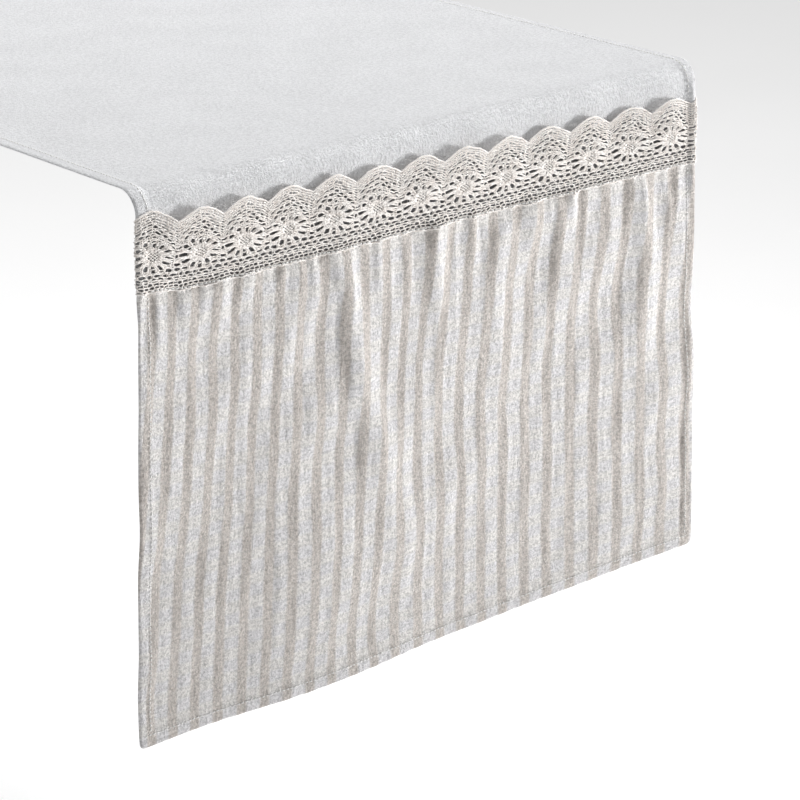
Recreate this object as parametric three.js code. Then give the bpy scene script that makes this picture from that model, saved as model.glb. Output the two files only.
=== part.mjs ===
// A table runner draped over a table top, with a lace-trimmed striped panel hanging at each end.
//
// Millimetres, +Z up, X across the runner, Y along it. The origin is the middle of the underside
// of the cloth that lies on the table, so z = 0 is the table-top plane. The front end is at -Y.
// Cloth is modelled as plain slabs. Hems are twice as thick and flush with the cloth's underside.

import * as THREE from 'three';

// Driving dimensions
const FLAT_LENGTH = 1400;      // the whole runner laid flat, from end hem to end hem
const WIDTH = 400;             // over the side hems
const DROP = 302;              // from the table-top plane down to the lower edge
const EDGE_RADIUS = 12;        // the bend of the underside over the table's edge
const CLOTH = 1;               // one layer of cloth
const HEM = 2;                 // a turned-under hem
const SIDE_HEM_WIDTH = 8;
const END_HEM_HEIGHT = 8;
const HEM_CORNER_RADIUS = 2.5;
const SEAM_DEPTH = 54;         // the plain-to-striped seam, below the table-top plane
const ALLOWANCE_HEIGHT = 8;    // the seam's cut edges, turned up behind the plain cloth
const ALLOWANCE_THICKNESS = 1;

const SCALLOPS = 13;           // scallops across the runner
const SCALLOP_STEPS = 8;       // straight pieces in one scallop's outline
const LACE_SHIFT = -5;         // the middle scallop's tip lies this far along X from the middle
const LACE_THICKNESS = 1.2;
const LACE_TIP_DEPTH = 15;     // top of a scallop, below the table-top plane
const SCALLOP_RISE = 6;        // from the dip between two scallops to the tip
const LACE_FOOT_DEPTH = 56;    // the straight edge, just below the seam
const SPIDER_DOWN = 18;        // the middle of a motif, below the tip of its scallop
const SPIDER_HOLES = 8;        // openings round the middle of each lace motif
const SPIDER_RADIUS = [10.2, 6.2];  // across and up: how far the openings lie from the middle
const SPIDER_HOLE_HALF = [2.2, 1];  // half length along the spoke, half width
const GROUND_UP = 8;           // the lozenges near the straight edge, above it
const GROUND_HOLE_HALF = [2.4, 1.1];
const HOLE_MARGIN = 4;         // no opening's middle is nearer than this to the side hems

const THREAD = 0.6;            // sewing thread, diameter
const STITCH_INSET = 1.2;      // from a hem's folded-over edge to its stitching
const THREAD_LIFT = 0.05;      // thread stands clear of the cloth
const FOLD_GAP = 0.3;          // between the bend and the flat cloth on either side of it
const BEND_FACETS = 5;
const CORNER_FACETS = 4;
const THREAD_SIDES = 8;

// Worked out from those
const BEND_MIDDLE = EDGE_RADIUS + CLOTH / 2;
const BEND_LENGTH = (Math.PI / 2) * BEND_MIDDLE;
const DROP_STRAIGHT = DROP - EDGE_RADIUS;
const TOP_HALF = FLAT_LENGTH / 2 - BEND_LENGTH - DROP_STRAIGHT;   // the flat top runs from -this to +this
const INNER_FACE = -(TOP_HALF + EDGE_RADIUS);                     // y of the front drop's face to the table
const CLOTH_HALF = WIDTH / 2 - SIDE_HEM_WIDTH;                    // half the width between the side hems
const HEM_TOP = -(DROP - END_HEM_HEIGHT);                         // z where the end hem starts

const material = (color, roughness) => new THREE.MeshStandardMaterial({ color, roughness, metalness: 0 });
const PLAIN = material('#dcdde0', 0.9);
const STRIPED = material('#cbc5bd', 0.9);
const LACE = material('#e6e0d6', 0.85);
const SEWING = material('#eeebe4', 0.7);

const add = (group, name, geometry, look) => {
  const mesh = new THREE.Mesh(geometry, look);
  mesh.name = name;
  group.add(mesh);
  return mesh;
};

// A box between two corners
const slab = (group, name, look, low, high) => {
  const size = high.map((value, i) => value - low[i]);
  const mesh = add(group, name, new THREE.BoxGeometry(...size), look);
  mesh.position.set(...low.map((value, i) => value + size[i] / 2));
};

// A straight thread between two points that differ along one axis
const thread = (group, name, from, to) => {
  const start = new THREE.Vector3(...from);
  const run = new THREE.Vector3(...to).sub(start);
  const geometry = new THREE.CylinderGeometry(THREAD / 2, THREAD / 2, run.length(), THREAD_SIDES);
  const mesh = add(group, name, geometry, SEWING);
  mesh.quaternion.setFromUnitVectors(new THREE.Vector3(0, 1, 0), run.clone().normalize());
  mesh.position.copy(start).addScaledVector(run, 0.5);
};

// A quarter ring round the front table edge, from x = low to high, between two radii
const bend = (group, name, look, low, high, inner, outer) => {
  const gap = FOLD_GAP / EDGE_RADIUS;
  const ring = new THREE.Shape();
  ring.absarc(0, 0, outer, Math.PI / 2 + gap, Math.PI - gap, false);
  ring.absarc(0, 0, inner, Math.PI - gap, Math.PI / 2 + gap, true);
  const options = { depth: high - low, bevelEnabled: false, curveSegments: BEND_FACETS };
  const geometry = new THREE.ExtrudeGeometry(ring, options);
  // the drawing's x, y and depth become the runner's y, z and x
  const turn = new THREE.Matrix4().set(0, 0, 1, 0, 1, 0, 0, 0, 0, 1, 0, 0, 0, 0, 0, 1);
  geometry.applyMatrix4(turn).translate(low, -TOP_HALF, -EDGE_RADIUS);
  add(group, name, geometry, look);
};

// A drawing in x and z stood up facing the front, its back at y = back
const standUp = (geometry, back) => {
  const turn = new THREE.Matrix4().set(1, 0, 0, 0, 0, 0, -1, 0, 0, 1, 0, 0, 0, 0, 0, 1);
  return geometry.applyMatrix4(turn).translate(0, back, 0);
};

// A lozenge hole, its long half-axis turned by angle
const lozenge = (x, z, halfLong, halfShort, angle) => {
  const hole = new THREE.Path();
  const corners = [[halfLong, 0], [0, halfShort], [-halfLong, 0], [0, -halfShort]];
  const points = corners.map(([u, v]) => new THREE.Vector2(u, v).rotateAround(new THREE.Vector2(), angle));
  hole.setFromPoints(points.map((p) => p.add(new THREE.Vector2(x, z))));
  return hole;
};

// The lace band: scallops along the top, a ring of openings in each motif, lozenges near the foot
const laceBand = () => {
  const pitch = WIDTH / SCALLOPS;
  const dip = -(LACE_TIP_DEPTH + SCALLOP_RISE);
  const edge = (x) => dip + SCALLOP_RISE * Math.abs(Math.cos((Math.PI * (x - LACE_SHIFT)) / pitch));
  const outline = new THREE.Shape();
  outline.moveTo(-CLOTH_HALF, edge(-CLOTH_HALF));
  outline.lineTo(-CLOTH_HALF, -LACE_FOOT_DEPTH);
  outline.lineTo(CLOTH_HALF, -LACE_FOOT_DEPTH);
  outline.lineTo(CLOTH_HALF, edge(CLOTH_HALF));
  const reach = (SCALLOPS / 2 + 1) * SCALLOP_STEPS;
  for (let i = reach; i > -reach; i -= 1) {
    const x = LACE_SHIFT + (i * pitch) / SCALLOP_STEPS;
    if (Math.abs(x) < CLOTH_HALF) outline.lineTo(x, edge(x));
  }
  const middleZ = -(LACE_TIP_DEPTH + SPIDER_DOWN);
  const groundZ = -(LACE_FOOT_DEPTH - GROUND_UP);
  const open = (x, z, half, angle) => {
    if (Math.abs(x) < CLOTH_HALF - HOLE_MARGIN) outline.holes.push(lozenge(x, z, ...half, angle));
  };
  for (let i = 0; i < SCALLOPS; i += 1) {
    const middle = LACE_SHIFT + (i - (SCALLOPS - 1) / 2) * pitch;
    for (let k = 0; k < SPIDER_HOLES; k += 1) {
      const angle = ((k + 0.5) / SPIDER_HOLES) * 2 * Math.PI;
      const x = middle + SPIDER_RADIUS[0] * Math.cos(angle);
      open(x, middleZ + SPIDER_RADIUS[1] * Math.sin(angle), SPIDER_HOLE_HALF, angle);
    }
    open(middle - pitch / 4, groundZ, GROUND_HOLE_HALF, 0);
    open(middle + pitch / 4, groundZ, GROUND_HOLE_HALF, 0);
  }
  const geometry = new THREE.ExtrudeGeometry(outline, { depth: LACE_THICKNESS, bevelEnabled: false });
  return standUp(geometry, INNER_FACE - CLOTH);
};

// The end hem, with its two lower corners slightly rounded
const endHem = () => {
  const half = WIDTH / 2;
  const r = HEM_CORNER_RADIUS;
  const outline = new THREE.Shape();
  outline.moveTo(half, HEM_TOP);
  outline.lineTo(-half, HEM_TOP);
  outline.absarc(-half + r, -DROP + r, r, Math.PI, 1.5 * Math.PI, false);
  outline.absarc(half - r, -DROP + r, r, 1.5 * Math.PI, 2 * Math.PI, false);
  const options = { depth: HEM, bevelEnabled: false, curveSegments: CORNER_FACETS };
  return standUp(new THREE.ExtrudeGeometry(outline, options), INNER_FACE);
};

// The cloth, hems and stitching over the table's front edge
const foldParts = (group, end, sides) => {
  bend(group, `${end}_fold`, PLAIN, -CLOTH_HALF, CLOTH_HALF, EDGE_RADIUS, EDGE_RADIUS + CLOTH);
  const lift = EDGE_RADIUS + HEM + THREAD_LIFT;
  for (const [side, sign] of sides) {
    const [low, high] = [sign * CLOTH_HALF, (sign * WIDTH) / 2].sort((a, b) => a - b);
    bend(group, `${end}_fold_hem_${side}`, PLAIN, low, high, EDGE_RADIUS, EDGE_RADIUS + HEM);
    const x = sign * (CLOTH_HALF + STITCH_INSET);
    bend(group, `${end}_fold_thread_${side}`, SEWING, x - THREAD / 2, x + THREAD / 2, lift, lift + THREAD);
  }
};

// Everything that hangs below the table's front edge
const dropParts = (group, end, sides) => {
  const clothFront = INNER_FACE - CLOTH;
  const hemFront = INNER_FACE - HEM;
  const top = -EDGE_RADIUS;
  const seam = -SEAM_DEPTH;
  const box = (name, look, low, high) => slab(group, `${end}_${name}`, look, low, high);
  const sew = (name, from, to) => thread(group, `${end}_${name}`, from, to);

  box('plain_strip', PLAIN, [-CLOTH_HALF, clothFront, seam], [CLOTH_HALF, INNER_FACE, top]);
  box('striped_panel', STRIPED, [-CLOTH_HALF, clothFront, HEM_TOP], [CLOTH_HALF, INNER_FACE, seam]);

  const allowanceBack = INNER_FACE + ALLOWANCE_THICKNESS;
  const allowanceTop = seam + ALLOWANCE_HEIGHT;
  box('seam_allowance', STRIPED, [-CLOTH_HALF, INNER_FACE, seam], [CLOTH_HALF, allowanceBack, allowanceTop]);
  const seamThreadY = allowanceBack + THREAD_LIFT + THREAD / 2;
  const seamThreadZ = seam + STITCH_INSET;
  sew('seam_thread', [-CLOTH_HALF, seamThreadY, seamThreadZ], [CLOTH_HALF, seamThreadY, seamThreadZ]);

  add(group, `${end}_lace_band`, laceBand(), LACE);
  const laceThreadY = clothFront - LACE_THICKNESS - THREAD_LIFT - THREAD / 2;
  const laceThreadZ = seam - THREAD / 2;
  sew('lace_thread', [-CLOTH_HALF, laceThreadY, laceThreadZ], [CLOTH_HALF, laceThreadY, laceThreadZ]);

  const hemThreadY = hemFront - THREAD_LIFT - THREAD / 2;
  for (const [side, sign] of sides) {
    const [low, high] = [sign * CLOTH_HALF, (sign * WIDTH) / 2].sort((a, b) => a - b);
    box(`side_hem_${side}`, STRIPED, [low, hemFront, HEM_TOP], [high, INNER_FACE, top]);
    const x = sign * (CLOTH_HALF + STITCH_INSET);
    sew(`side_thread_${side}`, [x, hemThreadY, HEM_TOP], [x, hemThreadY, top]);
  }

  add(group, `${end}_end_hem`, endHem(), STRIPED);
  const endThreadX = WIDTH / 2 - SIDE_HEM_WIDTH / 2;
  const endThreadZ = HEM_TOP - STITCH_INSET;
  sew('end_thread', [-endThreadX, hemThreadY, endThreadZ], [endThreadX, hemThreadY, endThreadZ]);
};

// The cloth that lies on the table
const topParts = (group, sides) => {
  slab(group, 'centre_panel', PLAIN, [-CLOTH_HALF, -TOP_HALF, 0], [CLOTH_HALF, TOP_HALF, CLOTH]);
  const threadZ = HEM + THREAD_LIFT + THREAD / 2;
  for (const [side, sign] of sides) {
    const [low, high] = [sign * CLOTH_HALF, (sign * WIDTH) / 2].sort((a, b) => a - b);
    slab(group, `centre_hem_${side}`, PLAIN, [low, -TOP_HALF, 0], [high, TOP_HALF, HEM]);
    const x = sign * (CLOTH_HALF + STITCH_INSET);
    thread(group, `centre_thread_${side}`, [x, -TOP_HALF, threadZ], [x, TOP_HALF, threadZ]);
  }
};

const runner = new THREE.Group();
topParts(runner, [['left', -1], ['right', 1]]);
for (const [end, turn, sides] of [
  ['front', 0, [['left', -1], ['right', 1]]],
  ['back', Math.PI, [['left', 1], ['right', -1]]],
]) {
  const group = new THREE.Group();
  group.rotation.z = turn;
  foldParts(group, end, sides);
  dropParts(group, end, sides);
  runner.add(group);
}

export default runner;
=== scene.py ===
"""The looks of a draped table runner: plain centre cloth, lace bands and striped ends.

Everything is laid out in flat coordinates first, as the runner lies before it is draped:
u runs across it, s runs along it from where the bend over the table edge starts, and n stands out
of its underside. A Drape turns those into places in the row frame, with the folds that hang in it.
"""

import math

import bpy
import numpy as np
from mathutils import Matrix, Vector


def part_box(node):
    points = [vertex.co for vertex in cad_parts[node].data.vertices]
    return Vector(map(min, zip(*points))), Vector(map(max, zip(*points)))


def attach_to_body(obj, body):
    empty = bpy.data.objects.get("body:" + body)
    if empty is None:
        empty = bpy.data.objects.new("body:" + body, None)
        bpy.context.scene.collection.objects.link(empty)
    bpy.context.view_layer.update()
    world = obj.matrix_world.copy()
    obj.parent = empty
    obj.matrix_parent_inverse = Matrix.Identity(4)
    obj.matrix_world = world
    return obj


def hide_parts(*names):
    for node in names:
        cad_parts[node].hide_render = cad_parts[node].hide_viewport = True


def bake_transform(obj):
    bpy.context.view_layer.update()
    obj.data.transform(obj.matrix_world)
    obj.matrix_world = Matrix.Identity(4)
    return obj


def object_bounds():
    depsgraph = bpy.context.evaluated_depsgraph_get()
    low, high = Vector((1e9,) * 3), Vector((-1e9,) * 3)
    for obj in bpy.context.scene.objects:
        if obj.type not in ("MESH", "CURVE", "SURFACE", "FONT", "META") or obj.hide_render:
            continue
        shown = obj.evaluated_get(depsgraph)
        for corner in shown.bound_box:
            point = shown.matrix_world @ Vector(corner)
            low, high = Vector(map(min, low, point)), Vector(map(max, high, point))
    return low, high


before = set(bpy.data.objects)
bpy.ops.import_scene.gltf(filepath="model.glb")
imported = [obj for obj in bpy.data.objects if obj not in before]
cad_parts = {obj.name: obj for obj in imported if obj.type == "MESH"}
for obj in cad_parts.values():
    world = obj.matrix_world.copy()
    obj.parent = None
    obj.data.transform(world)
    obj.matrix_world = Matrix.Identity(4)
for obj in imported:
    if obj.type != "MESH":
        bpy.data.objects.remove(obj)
CAD_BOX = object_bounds()
MM = 0.001
TAU = 2 * math.pi

# ---- camera

FRONT_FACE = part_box("front_striped_panel")[0].y  # the front end's outer face
TABLE_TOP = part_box("centre_panel")[1].z  # the top of the cloth on the table
SENSOR, LENS = 36, 127.2  # the camera's film width and focal length
CAMERA_AWAY = (-0.980, -1.078, 0.394)  # from the middle of the front end's top
YAW, DIP = math.radians(41.46), math.radians(20.76)  # it looks this far to the right and down


def make_camera():
    """Front left of the front end, looking down on it along its face."""
    data = bpy.data.cameras.new("camera")
    data.sensor_width = SENSOR
    data.lens = LENS
    data.clip_end = 40
    camera = bpy.data.objects.new("camera", data)
    bpy.context.scene.collection.objects.link(camera)
    x, y, z = CAMERA_AWAY
    camera.location = (x, FRONT_FACE + y, TABLE_TOP + z)
    camera.rotation_euler = (math.pi / 2 - DIP, 0, -YAW)
    bpy.context.scene.camera = camera


make_camera()

# ---- sizes, from the frame

HALF_WIDTH = CAD_BOX[1].x
TOP_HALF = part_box("centre_panel")[1].y  # the flat top runs from -this to +this
BEND_RADIUS = -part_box("front_plain_strip")[1].z  # of the cloth's underside over the table edge
BEND_MIDDLE = BEND_RADIUS + TABLE_TOP / 2
BEND = BEND_MIDDLE * math.pi / 2  # s where the bend ends
SEAM = -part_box("front_plain_strip")[0].z  # depths below the table top
HEM_START = -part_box("front_end_hem")[1].z
LOWER_EDGE = -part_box("front_end_hem")[0].z
LACE_FOOT = -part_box("front_lace_band")[0].z
LACE_TIP = -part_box("front_lace_band")[1].z
ALLOWANCE_TOP = -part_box("front_seam_allowance")[1].z
HEM_WIDTH = HALF_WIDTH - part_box("centre_panel")[1].x
STITCH_IN = HEM_WIDTH - 1.2 * MM  # from the outer edge to a hem's stitching
LACE_BOTTOM = LACE_FOOT + 0.8 * MM  # of the thread lace, which hangs a little lower
MOTIFS = 13  # lace motifs in the width
PITCH = 2 * HALF_WIDTH / MOTIFS
LACE_SHIFT = -5.1 * MM  # the motifs sit this far to the left of even places
LACE_EASE = 9 * MM  # and its middle this much more, eased in on that side


def s_at(depth):
    """The place along the runner of a depth on the hanging end."""
    return BEND + depth - BEND_RADIUS


# ---- cloth thicknesses

CLOTH_BACK = 0.10 * MM  # n of a single layer's two faces
CLOTH_FRONT = 0.70 * MM
HEM_RAISE = 0.70 * MM  # a hem's turned layers lift the face by this
TURNED_BACK = 0.05 * MM  # n of the turned-under layers
TURNED_FRONT = 0.76 * MM
SEWING_RADIUS = 0.42 * MM
UNDERSIDE_SHIFT = 3.0  # of the pattern on the underside, along s, so that the painted lace shade stays off it

# ---- small maths


def smooth(t):
    """0 to 1, with level ends, as t goes from 0 to 1."""
    t = np.clip(t, 0, 1)
    return t * t * (3 - 2 * t)


def ripples(u, s, seed, lengths, count=9):
    """A soft random relief between about -1 and 1: plane waves whose lengths lie between these two."""
    rng = np.random.RandomState(seed)
    total = 0
    for _ in range(count):
        angle = rng.uniform(0, TAU)
        wave = TAU / rng.uniform(*lengths)
        phase = rng.uniform(0, TAU)
        total = total + np.sin(wave * (np.cos(angle) * u + np.sin(angle) * s) + phase)
    return total / math.sqrt(count)


# ---- the folds of a hanging end

# Each fold, in mm: its crest as (across, depth) points, its height, and its first and last half width.
FRONT_FOLDS = [
    ([(-150, 52), (-152, 108)], 1.3, (5, 8)),
    ([(-128, 52), (-132, 120)], 1.4, (5, 9)),
    ([(-101, 52), (-104, 98), (-108, 140)], 1.4, (5, 9)),
    ([(-74, 50), (-64, 90), (-56, 138), (-44, 185), (-30, 235), (-20, 312)], 3.8, (6.5, 20)),
    ([(-41, 52), (-40, 100)], 1.5, (5, 7)),
    ([(-3, 50), (-4, 88), (5, 122)], 3.8, (5.5, 9)),
    ([(25, 52), (22, 90)], 1.2, (4.5, 7)),
    ([(44, 62), (41, 120), (38, 190)], 1.7, (7, 15)),
    ([(70, 52), (70, 92)], 1.6, (5, 8)),
    ([(97, 50), (93, 96), (86, 140)], 2.5, (6, 12)),
    ([(124, 52), (122, 100)], 1.2, (5, 8)),
    ([(152, 54), (159, 105), (154, 165), (150, 205)], 3.7, (7, 15)),
    ([(184, 52), (182, 130)], 1.4, (5, 9)),
]
PUCKER_STEP = 9.5 * MM  # between the small gathers along the seam
SWELL = 0.9 * MM  # broad random swells of the striped cloth
STREAK = 0.34 * MM  # narrow ones that run down it
HEM_GATHER = 0.25 * MM  # slanting gathers along the bottom hem, and their length
GATHER_LENGTH = 12.4 * MM
BELLIES = [(-82, 62, 10), (165, 48, 5)]  # swells of the lower part, in mm: place across, half width, height
RECEDE = 3 * MM  # the lower left of the end hangs back by up to this
LACE_WAVE = 0.3 * MM  # the cloth behind the lace is nearly smooth
CREASE = 1.6 * MM  # the right edge stands up beside the lace by this
FLARE = 8 * MM  # each side edge hangs this much wider at the bottom
SWAY = 0.45 * MM  # the folds draw the cloth sideways by about this
SEAM_SLOPE = 2.3 * MM  # the seam and lace run this much lower at the right than in the middle
EDGE_RISE = 3 * MM  # and are drawn up by this at the left edge
SEAM_EASE = 6 * MM  # the relief changes over this much at the seam
CORNER_RADIUS = 3.5 * MM  # of the two lower corners


def fold_height(u, depth, crest, height, widths):
    """One fold: a rounded ridge along its crest, rising from the seam and fading at its end."""
    points = np.array(crest) * MM
    middle = np.interp(depth, points[:, 1], points[:, 0])
    share = (depth - points[0, 1]) / (points[-1, 1] - points[0, 1])
    width = MM * (widths[0] + (widths[1] - widths[0]) * np.clip(share, 0, 1))
    envelope = smooth(share / 0.12 + 0.25) * smooth((1 - share) / 0.55)
    return height * MM * envelope * np.exp(-(((u - middle) / width) ** 2))


def small_puckers(seed):
    """Short random gathers all along the seam, as folds like the ones above."""
    rng = np.random.RandomState(seed)
    folds = []
    for k in range(int(2 * HALF_WIDTH / PUCKER_STEP)):
        across = (k + rng.uniform(0.2, 0.8)) * PUCKER_STEP / MM - HALF_WIDTH / MM
        drift = rng.uniform(-4, 4)
        length = rng.uniform(18, 52)
        crest = [(across, SEAM / MM - 1), (across + drift, SEAM / MM + length)]
        folds.append((crest, rng.uniform(0.35, 1.5), (rng.uniform(2.2, 3.4), rng.uniform(3.4, 5.5))))
    return folds


def corner_rise(u, s):
    """How far the two lower corners are rounded off."""
    past = np.clip((np.abs(u) - HALF_WIDTH) / CORNER_RADIUS + 1, 0, 1)
    near = smooth((s - s_at(HEM_START)) / (LOWER_EDGE - HEM_START))
    return near * CORNER_RADIUS * (1 - np.sqrt(1 - 0.96 * past ** 2))


class Drape:
    """One end of the runner, hanging. turn is 0 for the front and pi for the back, which is its own cloth."""

    def __init__(self, turn, folds, seed):
        self.turn = Matrix.Rotation(turn, 3, "Z")
        self.folds = folds + small_puckers(seed)
        self.seed = seed

    def random(self, k, u, s, shortest, longest):
        """This end's own soft random relief number k."""
        return ripples(u, s, self.seed + k, (shortest, longest))

    def gathers(self, u, depth):
        """The slanting gathers of the bottom hem, stronger in some places than in others."""
        lean = u + 0.55 * (depth - HEM_START)
        wander = 2.2 * self.random(2, u, 0 * u, 0.05, 0.12)
        strength = 0.55 + 0.45 * self.random(3, u, 0 * u, 0.04, 0.1)
        return strength * np.sin(TAU * lean / GATHER_LENGTH + wander)

    def belly(self, u, depth):
        """The broad shape of the lower part: its swells, and its left side hanging back."""
        across, down = u / MM, depth / MM
        swells = (height * np.exp(-(((across - place) / width) ** 2)) for place, width, height in BELLIES)
        swell = MM * sum(swells) * (1 - 0.5 * smooth((down - 200) / 90))
        left = smooth((-across - 80) / 120)
        return smooth((down - 90) / 190) * (swell - RECEDE * left)

    def hang(self, u, depth):
        """The relief of the striped cloth, from its seam to its hem."""
        folds = sum(fold_height(u, depth, *fold) for fold in self.folds)
        folds = folds * smooth((depth - SEAM + 5 * MM) / (9 * MM))
        below_seam = smooth((depth - SEAM) / SEAM_EASE)
        hem = smooth((depth - HEM_START) / (14 * MM) + 1)
        swells = SWELL * below_seam * (1 + self.random(0, u, depth, 0.05, 0.16))
        streaks = STREAK * below_seam * self.random(1, 2.2 * u, 0.45 * depth, 0.012, 0.034)
        gathers = HEM_GATHER * hem * self.gathers(u, depth)
        return folds + swells + streaks * (1 - 0.7 * hem) + gathers + self.belly(u, depth)

    def relief(self, u, s):
        """How far the cloth stands out from its flat place: nearly smooth down to the seam, then in folds."""
        depth = s - s_at(0)
        above = 1 - smooth((depth - SEAM) / SEAM_EASE)
        on_bend = smooth((s + 10 * MM) / (30 * MM))
        relief = LACE_WAVE * above * on_bend * (1 + self.random(4, u, s, 0.02, 0.06))
        beside_lace = smooth((depth / MM - 4) / 10) * smooth((88 - depth / MM) / 26)
        relief = relief + CREASE * beside_lace * np.exp(-(((HALF_WIDTH - u) / MM - 3.4) / 2.6) ** 2)
        low = depth > SEAM - SEAM_EASE
        relief[low] += self.hang(u[low], depth[low])
        return relief

    def spread(self, u, s):
        """The places across where the cloth lies: drawn sideways by its folds and wider at the bottom."""
        depth = s - s_at(0)
        inner = 1 - np.abs(u / HALF_WIDTH) ** 3
        sway = smooth((depth - SEAM) / (50 * MM)) * inner * self.random(5, u, s, 0.06, 0.16)
        flare = FLARE * np.clip(depth - BEND_RADIUS, 0, None) / (LOWER_EDGE - BEND_RADIUS)
        return u + SWAY * sway + u / HALF_WIDTH * flare

    def slope(self, u, s):
        """s shifted so that the seam and the lace on it run slightly downhill."""
        depth = s - s_at(0)
        share = smooth(depth / (14 * MM)) * (1 - smooth((depth - LACE_FOOT) / (LOWER_EDGE - LACE_FOOT)))
        rise = EDGE_RISE * smooth((-u / MM - 165) / 35)
        return s + share * (SEAM_SLOPE * u / HALF_WIDTH - rise)

    def at(self, u, s, n):
        """Places in the row frame, one row of x, y, z for each point given."""
        u, s, n = np.broadcast_arrays(*(np.asarray(v, float) for v in (u, s, n)))
        s = s - corner_rise(u, s)
        out = n + self.relief(u, s)
        x = self.spread(u, s)
        s = self.slope(u, s)
        angle = np.clip(s / BEND_MIDDLE, 0, math.pi / 2)
        past = s - angle * BEND_MIDDLE
        y = -TOP_HALF - (BEND_RADIUS + out) * np.sin(angle) - past * np.cos(angle)
        z = -BEND_RADIUS + (BEND_RADIUS + out) * np.cos(angle) - past * np.sin(angle)
        return np.stack([x, y, z], -1) @ np.array(self.turn).T

    def outward(self, s):
        """The direction in which n grows at s, before folds."""
        angle = np.clip(np.asarray(s, float) / BEND_MIDDLE, 0, math.pi / 2)
        normal = np.stack([np.zeros_like(angle), -np.sin(angle), np.cos(angle)], -1)
        return normal @ np.array(self.turn).T


# ---- mesh building


def new_piece(name, points, faces, material, flat=None):
    """A smooth-shaded mesh object. flat is each vertex's (u, s), kept as the UV map that the weaves read."""
    mesh = bpy.data.meshes.new(name)
    mesh.from_pydata(points.reshape(-1, 3).tolist(), [], faces)
    mesh.polygons.foreach_set("use_smooth", [True] * len(mesh.polygons))
    if flat is not None:
        corners = np.empty(len(mesh.loops), np.int32)
        mesh.loops.foreach_get("vertex_index", corners)
        mesh.uv_layers.new(name="flat").data.foreach_set("uv", flat[corners].astype(np.float32).ravel())
    mesh.materials.append(material)
    mesh.update()
    piece = bpy.data.objects.new(name, mesh)
    bpy.context.scene.collection.objects.link(piece)
    return piece


def grid_faces(rows, columns, start=0, flip=False):
    """Quads over a grid of points stored row by row."""
    index = start + np.arange(rows * columns).reshape(rows, columns)
    quads = np.stack([index[:-1, :-1], index[:-1, 1:], index[1:, 1:], index[1:, :-1]], -1).reshape(-1, 4)
    return quads[:, ::-1].tolist() if flip else quads.tolist()


def rim_faces(rows, columns):
    """Quads that close two stacked grids of points along their four edges."""
    index = np.arange(rows * columns).reshape(rows, columns)
    loop = np.concatenate([index[0], index[1:, -1], index[-1, -2::-1], index[-2:0:-1, 0]])
    following = np.roll(loop, -1)
    back = rows * columns
    return np.stack([loop, following, following + back, loop + back], -1).tolist()


def spaced(low, high, step, edge=0.0, fine=None):
    """Even places from low to high, closer together within edge of either end."""
    if not edge:
        return np.linspace(low, high, max(2, round((high - low) / step) + 1))
    parts = [
        np.linspace(low, low + edge, round(edge / fine) + 1)[:-1],
        np.linspace(low + edge, high - edge, max(2, round((high - low - 2 * edge) / step) + 1)),
        np.linspace(high - edge, high, round(edge / fine) + 1)[1:],
    ]
    return np.concatenate(parts)


def rounded(distance, radius):
    """The share of its thickness that cloth has this far in from a rounded edge."""
    t = np.clip(distance / radius, 0, 1)
    return np.sqrt(np.clip(1 - (1 - t) ** 2, 0.02, 1))


def keep_cuts_flat(piece, rows, columns, low, high):
    """Where cloth goes on as another piece, its last row is shaded as if it went on."""
    mesh = piece.data
    ends = np.empty(2 * len(mesh.edges), np.int32)
    mesh.edges.foreach_get("vertices", ends)
    row = (ends.reshape(-1, 2) % (rows * columns)) // columns
    cut = np.zeros(len(mesh.edges), bool)
    if low:
        cut |= (row == 0).all(1)
    if high:
        cut |= (row == rows - 1).all(1)
    mesh.edges.foreach_set("use_edge_sharp", cut)


def mark_underside(piece, quads):
    """Moves the underside's pattern along s, out of reach of the painted shade behind the lace. Its faces
    follow the outer face's.
    """
    mesh = piece.data
    flat = np.empty(2 * len(mesh.loops), np.float32)
    mesh.uv_layers["flat"].data.foreach_get("uv", flat)
    flat.reshape(-1, 2)[4 * quads:8 * quads, 1] += UNDERSIDE_SHIFT
    mesh.uv_layers["flat"].data.foreach_set("uv", flat)


SIDES_ROUNDED = (True, True, False, False)  # edges of a piece that goes on as another one
ALL_ROUNDED = (True, True, True, True)


def cloth_piece(name, drape, us, ss, back, front, material, edges, drawn=None):
    """A closed sheet over us by ss. back and front give n of its faces.

    edges says which are rounded, not cut: low u, high u, low s, high s. drawn gives (u, s) of the pattern.
    """
    u, s = np.meshgrid(us, ss)
    low, high = back(u, s), front(u, s)
    middle, half = (low + high) / 2, (high - low) / 2
    for on, distance in zip(edges, (u - us[0], us[-1] - u, s - ss[0], ss[-1] - s)):
        if on:
            half = half * rounded(distance, SHEET_ROUND)
    faces_n = np.stack([middle + half, middle - half])
    points = drape.at(np.stack([u, u]), np.stack([s, s]), faces_n)
    rows, columns = u.shape
    faces = grid_faces(rows, columns, flip=True) + grid_faces(rows, columns, rows * columns)
    faces += rim_faces(rows, columns)
    pattern = np.stack(drawn(u, s) if drawn else (u, s), -1).reshape(-1, 2)
    piece = new_piece(name, points, faces, material, np.concatenate([pattern, pattern]))
    keep_cuts_flat(piece, rows, columns, not edges[2], not edges[3])
    mark_underside(piece, (rows - 1) * (columns - 1))
    return piece


def unit(vectors):
    return vectors / (np.linalg.norm(vectors, axis=-1, keepdims=True) + 1e-12)


def tube_points(path, out, radius, sides):
    """Rings of points round a path, with out a direction out of the cloth at each point."""
    along = unit(np.gradient(path, axis=0))
    across = unit(np.cross(along, out))
    upward = np.cross(across, along)
    turn = np.arange(sides) * TAU / sides
    ring = across[:, None] * np.cos(turn)[:, None] + upward[:, None] * np.sin(turn)[:, None]
    return path[:, None] + ring * radius[:, None, None]


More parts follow.
